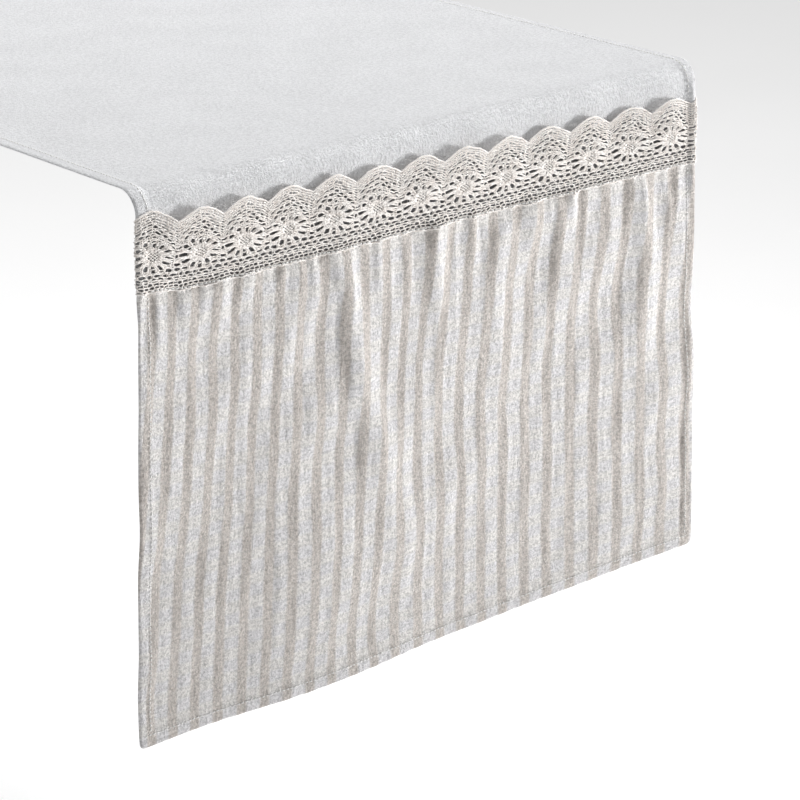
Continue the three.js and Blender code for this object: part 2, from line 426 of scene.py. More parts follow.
def tube_faces(rings, sides, start):
    """Quads along the tube and a flat cap on each end."""
    index = start + np.arange(rings * sides).reshape(rings, sides)
    beside = np.roll(index, -1, axis=1)
    quads = np.stack([index[:-1], beside[:-1], beside[1:], index[1:]], -1).reshape(-1, 4).tolist()
    return quads + [index[0, ::-1].tolist(), index[-1].tolist()]


def thread_piece(name, points, outs, radii, lengths, material, sides=6):
    """One object of many closed thread pieces. lengths says how many of the points each piece has."""
    ends = np.cumsum(lengths)[:-1]
    rings, faces, start = [], [], 0
    for path, out, radius in zip(np.split(points, ends), np.split(outs, ends), np.split(radii, ends)):
        rings.append(tube_points(path, out, radius, sides).reshape(-1, 3))
        faces += tube_faces(len(path), sides, start)
        start += len(path) * sides
    return new_piece(name, np.concatenate(rings), faces, material)


# ---- materials


class Nodes:
    """Short calls that add shader nodes and link them."""

    def __init__(self, name):
        self.material = bpy.data.materials.new(name)
        self.material.use_nodes = True
        self.tree = self.material.node_tree
        self.shader = self.tree.nodes["Principled BSDF"]

    def link(self, value, socket):
        if isinstance(value, bpy.types.NodeSocket):
            self.tree.links.new(value, socket)
        else:
            socket.default_value = value

    def math(self, operation, a, b=0.0):
        node = self.tree.nodes.new("ShaderNodeMath")
        node.operation = operation
        self.link(a, node.inputs[0])
        self.link(b, node.inputs[1])
        return node.outputs[0]

    def times(self, a, b):
        return self.math("MULTIPLY", a, b)

    def plus(self, a, b):
        return self.math("ADD", a, b)

    def minus(self, a, b):
        return self.math("SUBTRACT", a, b)

    def sine(self, a):
        return self.math("SINE", a)

    def ramp(self, value, low, high, start=0.0, end=1.0):
        """start below low, end above high, smooth between."""
        node = self.tree.nodes.new("ShaderNodeMapRange")
        node.interpolation_type = "SMOOTHSTEP"
        for socket, given in zip(node.inputs, (value, low, high, start, end)):
            self.link(given, socket)
        return node.outputs[0]

    def flat(self):
        """The cloth's own u and s."""
        node = self.tree.nodes.new("ShaderNodeUVMap")
        node.uv_map = "flat"
        split = self.tree.nodes.new("ShaderNodeSeparateXYZ")
        self.link(node.outputs[0], split.inputs[0])
        return split.outputs[0], split.outputs[1]

    def vector(self, x, y, z=0.0):
        node = self.tree.nodes.new("ShaderNodeCombineXYZ")
        for socket, given in zip(node.inputs, (x, y, z)):
            self.link(given, socket)
        return node.outputs[0]

    def scaled(self, u, s, across, along):
        return self.vector(self.times(u, across), self.times(s, along))

    def place(self):
        """The place on the piece itself, in metres."""
        return self.tree.nodes.new("ShaderNodeTexCoord").outputs["Object"]

    def noise(self, place, scale, detail=2.0, roughness=0.5):
        node = self.tree.nodes.new("ShaderNodeTexNoise")
        self.link(place, node.inputs["Vector"])
        node.inputs["Scale"].default_value = scale
        node.inputs["Detail"].default_value = detail
        node.inputs["Roughness"].default_value = roughness
        return node.outputs["Fac"]

    def mix(self, share, a, b, blend="MIX"):
        node = self.tree.nodes.new("ShaderNodeMix")
        node.data_type = "RGBA"
        node.blend_type = blend
        self.link(share, node.inputs[0])
        self.link(a, node.inputs[6])
        self.link(b, node.inputs[7])
        return node.outputs[2]

    def bump(self, height, distance, strength=1.0):
        node = self.tree.nodes.new("ShaderNodeBump")
        node.inputs["Strength"].default_value = strength
        node.inputs["Distance"].default_value = distance
        self.link(height, node.inputs["Height"])
        self.link(node.outputs[0], self.shader.inputs["Normal"])

    def set(self, **values):
        for name, value in values.items():
            self.link(value, self.shader.inputs[name.replace("_", " ")])


YARN_RELIEF = 0.32 * MM
SLUB_ACROSS, SLUB_ALONG = 640, 210  # noise scales across and along the yarns
GRAIN = 620
PAINTED_LACE_SHADE = 0.30  # share of the base colour kept under the painted shade on the cloth behind the lace
LACE_SHADE_START = 20.6 * MM  # mean depth from which the painted shade deepens, following the scallops
LACE_SHADE_WAVE = 3.5 * MM
LACE_SHADE_RAMP = 5 * MM  # over which it deepens
PLAIN_YARN, STRIPED_YARN = 0.75 * MM, 0.8 * MM
STRIPE_STEP = 16 * MM  # of the pattern, before drawn_stripes places each stripe
STRIPE_SHARE = 0.42  # of a repeat that is beige
BAR_STEP = 13.6 * MM  # the faint bars across the stripes


def colour(r, g, b):
    return (r, g, b, 1.0)


def weave(nodes, u, s, pitch):
    """Height of a plain weave of uneven yarns: 0 in the gaps, about 1 on the yarns."""
    shift = nodes.times(nodes.noise(nodes.scaled(u, s, 60, 60), 1.0), 1.6)
    warp, weft = (nodes.sine(nodes.plus(nodes.times(way, TAU / pitch), shift)) for way in (u, s))
    over = nodes.times(*(nodes.sine(nodes.times(way, math.pi / pitch)) for way in (u, s)))
    top = nodes.math("MAXIMUM", nodes.plus(warp, over), nodes.minus(weft, over))
    return nodes.ramp(top, -0.6, 1.6)


def slubs(nodes, u, s):
    """Light and dark flecks drawn out along the yarns, both ways, around 0.5."""
    scales = ((SLUB_ACROSS, SLUB_ALONG), (SLUB_ALONG, SLUB_ACROSS), (GRAIN, GRAIN))
    along, across, grain = (nodes.noise(nodes.scaled(u, s, *scale), 1.0, 3.0, 0.8) for scale in scales)
    weighted = nodes.plus(nodes.plus(along, across), nodes.times(grain, 2.0))
    return nodes.math("DIVIDE", weighted, 4.0)


def painted_shade_behind_lace(nodes, u, s):
    """The deep painted shade on the cloth behind the lace's openings, as a factor on its base colour, on both
    ends.
    """
    from_middle = nodes.plus(s, TOP_HALF)
    own_u = nodes.times(u, nodes.math("SIGN", from_middle))
    own_s = nodes.minus(nodes.math("ABSOLUTE", from_middle), TOP_HALF)
    share = nodes.math("DIVIDE", own_u, HALF_WIDTH)
    eased = nodes.times(nodes.times(share, share), LACE_EASE)
    lace_x = nodes.plus(own_u, nodes.minus(LACE_EASE, eased))
    turn = nodes.times(nodes.minus(lace_x, LACE_SHIFT), TAU / PITCH)
    wave = nodes.times(nodes.math("COSINE", turn), -LACE_SHADE_WAVE)
    start = nodes.plus(wave, s_at(LACE_SHADE_START))
    # the painted shade is drawn in the base colour, on the flat pattern coordinates
    entering = nodes.ramp(own_s, start, nodes.plus(start, LACE_SHADE_RAMP))
    foot = s_at(LACE_BOTTOM)
    leaving = nodes.ramp(own_s, foot - 1.8 * MM, foot - 0.6 * MM, 1.0, 0.0)
    depth = nodes.times(nodes.times(entering, leaving), 1 - PAINTED_LACE_SHADE)
    return nodes.minus(1.0, depth)


def finish_cloth(nodes, base, u, s, pitch, contrast):
    """Yarn relief, flecks and the soft shine of cotton on a base colour, with painted shade in the yarn gaps
    and behind the lace.
    """
    flecks = slubs(nodes, u, s)
    tone = nodes.ramp(flecks, 0.40, 0.60, 1 - contrast, 1 + contrast)
    cloudy = nodes.ramp(nodes.noise(nodes.vector(u, s), 28), 0.3, 0.7, 0.98, 1.02)
    relief = weave(nodes, u, s, pitch)
    # the base colour is up to 10 % darker in the gaps between yarns: painted shade in the weave's recesses
    gaps = nodes.ramp(relief, 0.0, 0.5, 0.90, 1.0)
    # shade is the random tone of the flecks times the painted shade of the yarn gaps, then times the painted
    # shade behind the lace
    shade = nodes.times(nodes.times(tone, cloudy), gaps)
    shade = nodes.times(shade, painted_shade_behind_lace(nodes, u, s))
    shaded = nodes.mix(1.0, base, nodes.vector(shade, shade, shade), "MULTIPLY")
    nodes.set(Base_Color=shaded, Roughness=0.92, Sheen_Weight=0.10, Sheen_Roughness=0.6)
    height = nodes.plus(nodes.times(relief, 0.5), nodes.times(flecks, 7.5))
    nodes.bump(height, YARN_RELIEF)
    return nodes.material


def plain_weave():
    """Very pale grey linen and cotton."""
    nodes = Nodes("plain_weave")
    u, s = nodes.flat()
    return finish_cloth(nodes, colour(0.825, 0.83, 0.845), u, s, PLAIN_YARN, 0.12)


def stripe_mask(nodes, along, step, share, blur):
    """1 inside the stripes, which are centred on whole steps, and 0 between them."""
    place = nodes.math("FRACT", nodes.plus(nodes.math("DIVIDE", along, step), 100.5))
    distance = nodes.math("ABSOLUTE", nodes.minus(place, 0.5))
    return nodes.ramp(distance, share / 2 - blur, share / 2 + blur, 1.0, 0.0)


def striped_weave():
    """Yarn-dyed cotton: beige warp stripes on white, with faint pale bars in the weft."""
    nodes = Nodes("striped_weave")
    u, s = nodes.flat()
    edge = u
    for across, along, reach in ((700, 90, 1.6 * MM), (42, 2, 2 * MM)):
        wander = nodes.minus(nodes.noise(nodes.scaled(u, s, across, along), 1.0), 0.5)
        edge = nodes.plus(edge, nodes.times(wander, reach))
    stripe = stripe_mask(nodes, edge, STRIPE_STEP, STRIPE_SHARE, 0.075)
    bar = stripe_mask(nodes, s, BAR_STEP, 0.5, 0.10)
    white = nodes.mix(bar, colour(0.800, 0.786, 0.797), colour(0.834, 0.812, 0.79))
    heather = nodes.noise(nodes.scaled(u, s, 900, 360), 1.0, 3.0, 0.75)
    heather = nodes.ramp(heather, 0.35, 0.65)
    beige = nodes.mix(heather, colour(0.55, 0.50, 0.461), colour(0.712, 0.665, 0.629))
    beige = nodes.mix(nodes.times(bar, 0.12), beige, colour(0.76, 0.74, 0.71))
    return finish_cloth(nodes, nodes.mix(stripe, white, beige), u, s, STRIPED_YARN, 0.26)


def lace_cotton():
    """Cream-white cotton threads, a little fuzzy."""
    nodes = Nodes("lace_cotton")
    place = nodes.place()
    tone = nodes.ramp(nodes.noise(place, 260, 3.0, 0.6), 0.35, 0.65)
    base = nodes.mix(tone, colour(0.94, 0.885, 0.84), colour(0.985, 0.95, 0.915))
    nodes.set(Base_Color=base, Roughness=0.85, Sheen_Weight=0.15, Sheen_Roughness=0.5)
    nodes.bump(nodes.noise(place, 2600, 2.0, 0.7), 0.12 * MM, 0.8)
    return nodes.material


def sewing_cotton():
    """Off-white sewing thread with a slight lustre."""
    nodes = Nodes("sewing_cotton")
    place = nodes.place()
    tone = nodes.noise(place, 900, 2.0, 0.6)
    base = nodes.mix(tone, colour(0.91, 0.90, 0.88), colour(0.97, 0.965, 0.955))
    nodes.set(Base_Color=base, Roughness=0.55)
    nodes.bump(nodes.noise(place, 4000, 1.0), 0.06 * MM, 0.6)
    return nodes.material


PLAIN, STRIPED, LACE, SEWING = plain_weave(), striped_weave(), lace_cotton(), sewing_cotton()

# ---- cloth pieces

COLUMN, ROW = 1.8 * MM, 2.0 * MM  # mesh steps of the hanging cloth
FINE = 0.6 * MM  # and those near its edges
FINE_EDGE, ROWS_EDGE = 10 * MM, 12 * MM
CENTRE_COLUMN, CENTRE_ROW = 4 * MM, 5 * MM
HEM_STEPS = 1 * MM, 0.8 * MM, 0.2 * MM  # on a turned hem: its mesh step, its fine edge and the step there
HEM_ROW, CROSS_STEP = 3 * MM, 2 * MM  # mesh steps along a side hem and along a hem or seam right across
EDGE_ROLL = 1.4 * MM  # the face turns down over the outermost part of a hem
SHEET_ROUND = 0.35 * MM  # of a sheet's own edge
SPLIT = -50 * MM  # s on the table where the centre cloth meets an end's cloth
STITCH_DENT, DENT_WIDTH = 0.2 * MM, 0.9 * MM  # the stitches draw the face in this far, and this wide
PULL_LENGTH = 4.9 * MM  # the pull on them varies over this


def hem_lift(u, s):
    """How far the turned layers raise the face over the side hems and the end hem."""
    side = smooth((np.abs(u) - HALF_WIDTH + HEM_WIDTH + 2.5 * MM) / (4.5 * MM))
    end = smooth((s - s_at(HEM_START) + 1.5 * MM) / (3 * MM))
    outer = np.minimum(HALF_WIDTH - np.abs(u), s_at(LOWER_EDGE) - s)
    return HEM_RAISE * np.maximum(side, end) * smooth((outer + 0.2 * MM) / EDGE_ROLL)


def stitch_dent(u, s):
    """The face drawn in along the rows of stitches."""
    side = np.abs(np.abs(u) - HALF_WIDTH + STITCH_IN)
    end = np.abs(s - s_at(LOWER_EDGE) + STITCH_IN)
    near = np.minimum(side, end)
    pull = 0.75 + 0.25 * np.sin(TAU * (u + s) / PULL_LENGTH)
    return STITCH_DENT * pull * np.exp(-((near / DENT_WIDTH) ** 2))


def face_n(u, s):
    return CLOTH_FRONT + hem_lift(u, s) - stitch_dent(u, s)


def back_n(u, s):
    return CLOTH_BACK + hem_lift(u, s) - 0.6 * stitch_dent(u, s)


def level(n):
    """A face at one n everywhere."""
    return lambda u, s: n + 0 * u


# Where some beige stripes hang, in mm across, and their numbers: closer together on the left.
STRIPE_PLACES = [(-206, 0), (-165.5, 3), (-94, 8), (-25, 13), (37, 17), (94, 20), (163, 24), (199, 26)]


def stripe_lean(across, down):
    """How far to the left the stripes have moved, in mm: their lean begins lower down on the left half."""
    share = np.clip((down - 80) / 190, -0.15, 1.2)
    left = smooth(-across / 45)
    early = share * (2.2 + 4 * np.clip((150 - across) / 350, 0, 1) ** 1.5)
    late = 6.8 * smooth((down - 55 - 45 * left) / (85 + 55 * left))
    return early + late - 2 * (1 - left) * smooth((down - 185) / 100)


def drawn_stripes(seed):
    """Pattern coordinates of the striped cloth: its stripes lean to the left on their way down."""
    curve = np.polyfit(*np.array(STRIPE_PLACES).T, 3)

    def drawn(u, s):
        across, down = u / MM, (s - s_at(0)) / MM
        wobble = 0.5 * ripples(u, s, seed + 6, (0.05, 0.12)) * smooth((down - SEAM / MM) / 40)
        return np.polyval(curve, across + stripe_lean(across, down) + wobble) * STRIPE_STEP, s
    return drawn


def hem_columns(side):
    """The places across of a side hem's turned layers, on the underside."""
    edge, inner = side * (HALF_WIDTH - EDGE_ROLL), side * (HALF_WIDTH - HEM_WIDTH)
    return spaced(min(edge, inner), max(edge, inner), *HEM_STEPS)


SHEET_FACES = back_n, face_n
TURNED_FACES = level(TURNED_BACK), level(TURNED_FRONT)


# ---- stitching

STITCH, STITCH_GAP = 1.5 * MM, 1.0 * MM
STITCH_ARCH, STITCH_DIP = 0.5 * MM, 0.3 * MM


def stitches(name, drape, start, end, faces, seed):
    """A row of lockstitches between two flat places.

    faces lists (n, outside) for each face it shows on. Each stitch arches over the cloth and dips in at
    both ends.
    """
    start, end = np.array(start), np.array(end)
    length = np.linalg.norm(end - start)
    direction = (end - start) / length
    across = np.array([-direction[1], direction[0]])
    rng = np.random.RandomState(seed)
    t = np.linspace(0, 1, 7)
    count = int(length / (STITCH + STITCH_GAP))
    points, outs = [], []
    for n, outside in faces:
        shift = rng.uniform(-0.07, 0.07, (count, 1)) * MM
        turn = np.outer(rng.uniform(-0.12, 0.12, count), t) * MM
        run = np.arange(count)[:, None] * (STITCH + STITCH_GAP) + t * STITCH
        flat = start + run[..., None] * direction + (shift + turn)[..., None] * across
        u, s = flat[..., 0], flat[..., 1]
        height = n(u, s) + outside * (STITCH_ARCH * np.sin(math.pi * t) ** 0.6 - STITCH_DIP)
        points.append(drape.at(u, s, height).reshape(-1, 3))
        outs.append(outside * drape.outward(s).reshape(-1, 3))
    total = count * len(faces)
    radii = np.tile(SEWING_RADIUS * (0.75 + 0.25 * np.sin(math.pi * t)), total)
    lengths = [len(t)] * total
    return thread_piece(name, np.concatenate(points), np.concatenate(outs), radii, lengths, SEWING)


BOTH_FACES = ((face_n, 1), (TURNED_FACES[0], -1))

# ---- lace

LACE_TALL = 42.6 * MM  # from the scallops' tips to the foot
SCALLOP = 6.3 * MM  # a scallop's rise from its dips
THREAD = 0.41 * MM  # lace thread radius
ROW_STEP = 1.42 * MM  # between the rows that run along the lace
LIFT = 0.3 * MM  # how far threads weave in and out of the band
EDGE_PLY = 3.1 * MM  # one turn of the pairs of threads that are the band's two edges
LACE_STEP = PITCH / 26  # between rings along a lace thread
EDGE_TURN = 1.2 * MM  # the lace goes round the side hem on this radius
LACE_TURNED = 4 * MM  # and on this far behind it
LACE_END = HALF_WIDTH + (math.pi - 1) * EDGE_TURN + LACE_TURNED
SPIDER_DOWN = 23.9 * MM  # the middle of a motif, below the tips
SPIDER_CORE = (6.2 * MM, 3.8 * MM)
LEG_REACH = (13.2 * MM, 8.2 * MM)
CORE_STEP = 1.18 * MM  # between the threads of a motif's middle
CORE_HALF = 5.2 * MM  # the middle reaches this far either way across its threads
CORE_SPREAD = 6.4 * MM
CROSSINGS = 18  # threads across the band in each motif

# Holes of one motif, left open by the threads round them: across from its middle, down from the tips,
# half length, half height, and tilt in degrees. Those with a side are repeated on the other side.
FAN_HOLES = [
    (0.4, 4.2, 0.7, 0.3, 0), (2.8, 5.0, 0.6, 0.3, -14), (-3.1, 5.4, 0.6, 0.3, 20),
    (-0.8, 7.4, 0.8, 0.34, 6), (2.2, 8.6, 0.7, 0.32, -12), (-4.4, 8.3, 0.7, 0.32, 26),
    (-1.4, 10.6, 0.8, 0.38, 8), (3.4, 11.6, 0.8, 0.36, -20), (0.8, 13.6, 0.8, 0.4, 0),
    (-3.6, 13.0, 0.8, 0.4, 26),
]
SIDE_HOLES = [
    (6.4, 8.0, 0.9, 0.34, -34), (5.8, 11.0, 0.9, 0.38, -34), (8.7, 10.2, 0.8, 0.32, -38),
    (7.7, 13.5, 1.0, 0.45, -40), (10.9, 12.4, 0.9, 0.34, -38), (9.9, 16.0, 1.2, 0.5, -46),
    (12.6, 17.4, 0.9, 0.42, -56), (13.0, 20.6, 1.0, 0.5, -74),
]
# Holes round the middle of a motif, pointing towards it: across and down from it, half length, half width.
SPIDER_HOLES = [
    (0.7, -5.9, 1.35, 1.05), (5.3, -4.9, 1.3, 0.95), (8.9, -2.4, 1.9, 0.72), (10.4, 0.7, 1.9, 0.66),
    (8.6, 3.7, 1.8, 0.85), (4.8, 5.9, 1.4, 1.15), (0.1, 6.7, 1.35, 1.2), (-4.8, 6.1, 1.4, 1.15),
    (-9.3, 3.3, 2.0, 0.8), (-11.0, 0.1, 2.1, 0.66), (-8.5, -3.4, 1.9, 0.78), (-4.4, -5.7, 1.4, 1.0),
]
# Holes halfway between two motifs: down, half length and half height.
BETWEEN_HOLES = [(28.6, 1.2, 0.5), (21.5, 0.45, 0.8), (25.0, 0.45, 0.8)]
NET_ROWS = (31.6, 33.9, 36.1, 38.2)  # down, of the rows of holes below the motifs
NET_HOLES = 6  # in a motif's width
FOOT_ROW, FOOT_HOLES = 40.2, 9
HOLE_REACH = 1.9  # a hole pushes threads aside within this many times its own size


def motif_holes():
    """Every hole of one motif as rows of x, down, half length, half height and tilt."""
    holes = list(FAN_HOLES)
    for x, down, length, height, tilt in SIDE_HOLES:
        holes += [(x, down, length, height, tilt), (-x, down, length, height, -tilt)]
    for x, down, length, width in SPIDER_HOLES:
        holes.append((x, SPIDER_DOWN / MM + down, length, width, -math.degrees(math.atan(down / x))))
    repeat = PITCH / MM
    for row, down in enumerate(NET_ROWS):
        for k in range(NET_HOLES):
            x = (k + 0.5 * (row % 2)) * repeat / NET_HOLES - repeat / 2
            if row or abs(x) > 6:
                holes.append((x, down, 1.15 - 0.12 * row, 0.52 - 0.06 * row, 10))
    holes += [(-repeat / 2, *hole, 0) for hole in BETWEEN_HOLES]
    for k in range(FOOT_HOLES):
        holes.append((k * repeat / FOOT_HOLES - repeat / 2, FOOT_ROW, 0.5, 0.22, 14))
    return np.array(holes)


HOLES = motif_holes()


def local(x):
    """Where x is within its motif, from -PITCH / 2 to PITCH / 2."""
    return (x - LACE_SHIFT + PITCH / 2) % PITCH - PITCH / 2


def in_hole(x, down, hole):
    """Coordinates across and along a hole in units of its own half sizes, in its motif or the next ones."""
    dx = local(x - hole[0] * MM) / MM
    dy = down / MM - hole[1]
    tilt = math.radians(hole[4])
    along = dx * math.cos(tilt) - dy * math.sin(tilt)
    across = dx * math.sin(tilt) + dy * math.cos(tilt)
    return along / (hole[2] + THREAD / MM), across / (hole[3] + THREAD / MM)


def open_holes(x, down):
    """Pushes threads aside, off the holes."""
    for hole in HOLES:
        p, q = in_hole(x, down, hole)
        near = np.hypot(p, q) + 1e-9
        pushed = np.where(near < HOLE_REACH, 1 + near * (HOLE_REACH - 1) / HOLE_REACH, near)
        scale = pushed / near - 1
        tilt = math.radians(hole[4])
        along = p * scale * (hole[2] * MM + THREAD)
        across = q * scale * (hole[3] * MM + THREAD)
        x = x + along * math.cos(tilt) + across * math.sin(tilt)
        down = down - along * math.sin(tilt) + across * math.cos(tilt)
    return x, down


def clear_of_holes(x, down):
    """False where a thread would run right through a hole."""
    clear = np.ones(x.shape, bool)
    for hole in HOLES:
        p, q = in_hole(x, down, hole)
        clear &= np.hypot(p, q) > 0.72
    return clear


def scallop_dip(x, down_middle):
    """How much lower than at the scallops' middles a row runs: the scallops flatten out towards the foot."""
    share = np.clip(1 - down_middle / (30 * MM), 0, 1)
    belly = 1 + 0.5 * smooth(down_middle / (16 * MM))
    return SCALLOP * belly * share * np.abs(local(x) / (PITCH / 2)) ** 1.45


def core_distance(x, down):
    """1 on the edge of a motif's closely woven middle, less inside it."""
    return np.hypot(local(x) / SPIDER_CORE[0], (down - SPIDER_DOWN) / SPIDER_CORE[1])


def runs(keep):
    """Index ranges over which keep stays true."""
    edges = np.flatnonzero(np.diff(np.concatenate([[0], keep.astype(int), [0]])))
    return [slice(a, b) for a, b in zip(edges[::2], edges[1::2]) if b - a > 2]


def plied(x, down, apart):
    """Two threads wound round each other along a line, as (x, down, lift, radius)."""
    length = np.concatenate([[0], np.cumsum(np.hypot(np.diff(x), np.diff(down)))])
    dx, dy = np.gradient(x), np.gradient(down)
    size = np.hypot(dx, dy) + 1e-12
    pair = []
    for start in (0, math.pi):
        angle = TAU * length / EDGE_PLY + start
        shift = apart * np.cos(angle)
        pair.append((x - dy / size * shift, down + dx / size * shift, apart * np.sin(angle), THREAD + 0 * x))
    return pair


def row_threads():
    """Threads that run the whole length, following the scallops at the top and straight at the foot."""
    x = np.arange(-LACE_END, LACE_END + LACE_STEP / 2, LACE_STEP)
    crossing = CROSSINGS * math.pi * (x - LACE_SHIFT) / PITCH
    threads = plied(x, THREAD * 1.4 + scallop_dip(x, 0), THREAD * 0.75)
    levels = np.arange(2.1 * MM, LACE_TALL - 1.2 * MM, ROW_STEP)
    for k, level_down in enumerate(levels):
        down = level_down + scallop_dip(x, level_down)
        keep = core_distance(x, down) > 0.9
        lift = LIFT * np.cos(crossing + math.pi * k)
        pushed_x, pushed_down = open_holes(x, down)
        for part in runs(keep):
            threads.append((pushed_x[part], pushed_down[part], lift[part], THREAD + 0 * x[part]))
    bumps = LACE_TALL - 0.5 * MM + 0.22 * MM * np.cos(crossing)
    return threads + plied(x, bumps, THREAD * 0.7)


def crossing_threads():
    """Threads from the scalloped edge to the foot, woven over and under the rows."""
    threads = []
    down_middle = np.arange(1.2 * MM, LACE_TALL - 0.8 * MM, 0.8 * ROW_STEP)
    count = (MOTIFS + 1) * CROSSINGS // 2
    for j in range(-count, count + 1):
        slant = (0.35 if j % 2 else -0.3) * MM * np.sin(down_middle / (5 * MM))
        x = LACE_SHIFT + j * PITCH / CROSSINGS + slant
        down = down_middle + scallop_dip(x, down_middle)
        keep = clear_of_holes(x, down) & (core_distance(x, down) > 0.9) & (np.abs(x) < LACE_END)
        lift = LIFT * np.cos(math.pi * down_middle / ROW_STEP + math.pi * j)
        x, down = open_holes(x, down)
        for part in runs(keep):
            threads.append((x[part], down[part], lift[part], 0.8 * THREAD + 0 * x[part]))
    return threads


def leg_threads(middle):
    """The legs of one motif, in pairs between its holes."""
    threads = []
    wide, tall = SPIDER_CORE
    angles = np.sort([math.atan2(down / tall, x / wide) for x, down, _, _ in SPIDER_HOLES])
    t = np.linspace(0, 1, 9)
    reach_x = 0.6 * wide + t * (LEG_REACH[0] - 0.6 * wide)
    reach_down = 0.6 * tall + t * (LEG_REACH[1] - 0.6 * tall)
    for angle, following in zip(angles, np.append(angles[1:], angles[0] + TAU)):
        for side in (-0.17, 0.17):
            leg = (angle + following) / 2 + side * (following - angle) * (1.2 - 0.2 * t)
            lift = LIFT * np.cos(2.5 * math.pi * t + 5 * side)
            x, down = middle + reach_x * np.cos(leg), SPIDER_DOWN + reach_down * np.sin(leg)
            threads.append((x, down, lift, THREAD + 0 * t))
    return threads


def core_threads(middle):
    """The closely woven middle of one motif: two layers of slanting threads."""
    threads = []
    for slant in (-1, 1):
        for j in range(-4, 5):
            offset = j * CORE_STEP
            reach = math.sqrt(max(1 - (offset / CORE_HALF) ** 2, 0.05))
            run = np.linspace(-reach, reach, 8)
            x = middle + SPIDER_CORE[0] * 1.05 * (run * 0.8 + slant * offset / CORE_SPREAD)
            down = SPIDER_DOWN + SPIDER_CORE[1] * 1.1 * (slant * run * 0.8 - offset / CORE_SPREAD)
            lift = 0.28 * MM * np.cos(math.pi * (run * 4 + j))
            threads.append((x, down, lift, 0.8 * THREAD + 0 * run))
    return threads


def cut_off(threads):
    """The threads as far as the lace reaches."""
    within = [np.abs(thread[0]) < LACE_END for thread in threads]
    return [tuple(values[inside] for values in thread)
            for thread, inside in zip(threads, within) if np.count_nonzero(inside) > 2]


def lace_threads():
    """Every thread of a lace band, as (x, down, lift, radius), down from the tips."""
    threads = row_threads() + crossing_threads()
    for i in range(-(MOTIFS // 2) - 1, MOTIFS // 2 + 2):
        middle = LACE_SHIFT + i * PITCH
        threads += cut_off(leg_threads(middle) + core_threads(middle))
    return threads


FOOT_STAND = 0.55 * MM  # the lace's middle is this far off the cloth where it is sewn down
FREE_STAND = 3.4  # its free tips stand this much further off on average, in mm


def lace_stand_off(x, down):
    """n of the lace: sewn down at its foot, free and standing away at the scallops, held by the side hems."""
    free = np.clip(1 - down / LACE_TALL, 0, 1)
    wave = FREE_STAND + 0.9 * np.sin(x / 0.031 + 1) + 0.6 * np.sin(x / 0.013)
    stand = CLOTH_FRONT + FOOT_STAND + wave * MM * free ** 1.4
    from_edge = HALF_WIDTH - np.abs(x)
    held = 1 - smooth((from_edge - 8 * MM) / (16 * MM))
    at_hem = CLOTH_FRONT + HEM_RAISE + 0.45 * MM
    crease = 0.7 * MM * np.exp(-(((from_edge - STITCH_IN) / (1.6 * MM)) ** 2)) * held
    return stand * (1 - held) + held * at_hem - 0.45 * crease


def lace_place(drape, x, down, lift):
    """Where points of the lace are, and the directions out of it. Past the sides it turns under the hem."""
    x = x - LACE_EASE * (1 - (x / HALF_WIDTH) ** 2)
    x = x + 0.3 * MM * ripples(x, down, drape.seed + 7, (0.008, 0.02))
    down = down + 0.25 * MM * ripples(x, down, drape.seed + 8, (0.008, 0.02))
    down = down + 0.15 * MM * ripples(x, down, drape.seed + 9, (0.0015, 0.005))
    lift = lift * (1.1 + 0.5 * ripples(x, down, drape.seed + 10, (0.0015, 0.004)))
    flat_half = HALF_WIDTH - EDGE_TURN + 0.1 * MM
    past = np.clip(np.abs(x) - flat_half, 0, None)
    angle = np.clip(past / EDGE_TURN, 0, math.pi)
    beyond = past - angle * EDGE_TURN
    side = np.sign(x)
    u = side * (np.minimum(np.abs(x), flat_half) + (EDGE_TURN + lift) * np.sin(angle) - beyond)
    n = lace_stand_off(x, down) + lift * np.cos(angle) - EDGE_TURN * (1 - np.cos(angle))
    s = s_at(LACE_BOTTOM) - LACE_TALL + down
    out = drape.outward(s) * np.cos(angle)[:, None]
    out = out + (side * np.sin(angle))[:, None] * np.array(drape.turn)[:, 0]
    return drape.at(u, s, n), out


def lace_band(name, drape):
    threads = lace_threads()
    x, down, lift, radius = (np.concatenate(parts) for parts in zip(*threads))
    points, outs = lace_place(drape, x, down, lift)
    return thread_piece(name, points, outs, radius, [len(thread[0]) for thread in threads], LACE, sides=5)


# ---- putting an end together

FRONT_SEED, BACK_SEED, CENTRE_SEED = 11, 31, 11


def given(piece, slot, *nodes):
    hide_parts(*nodes)
    return piece


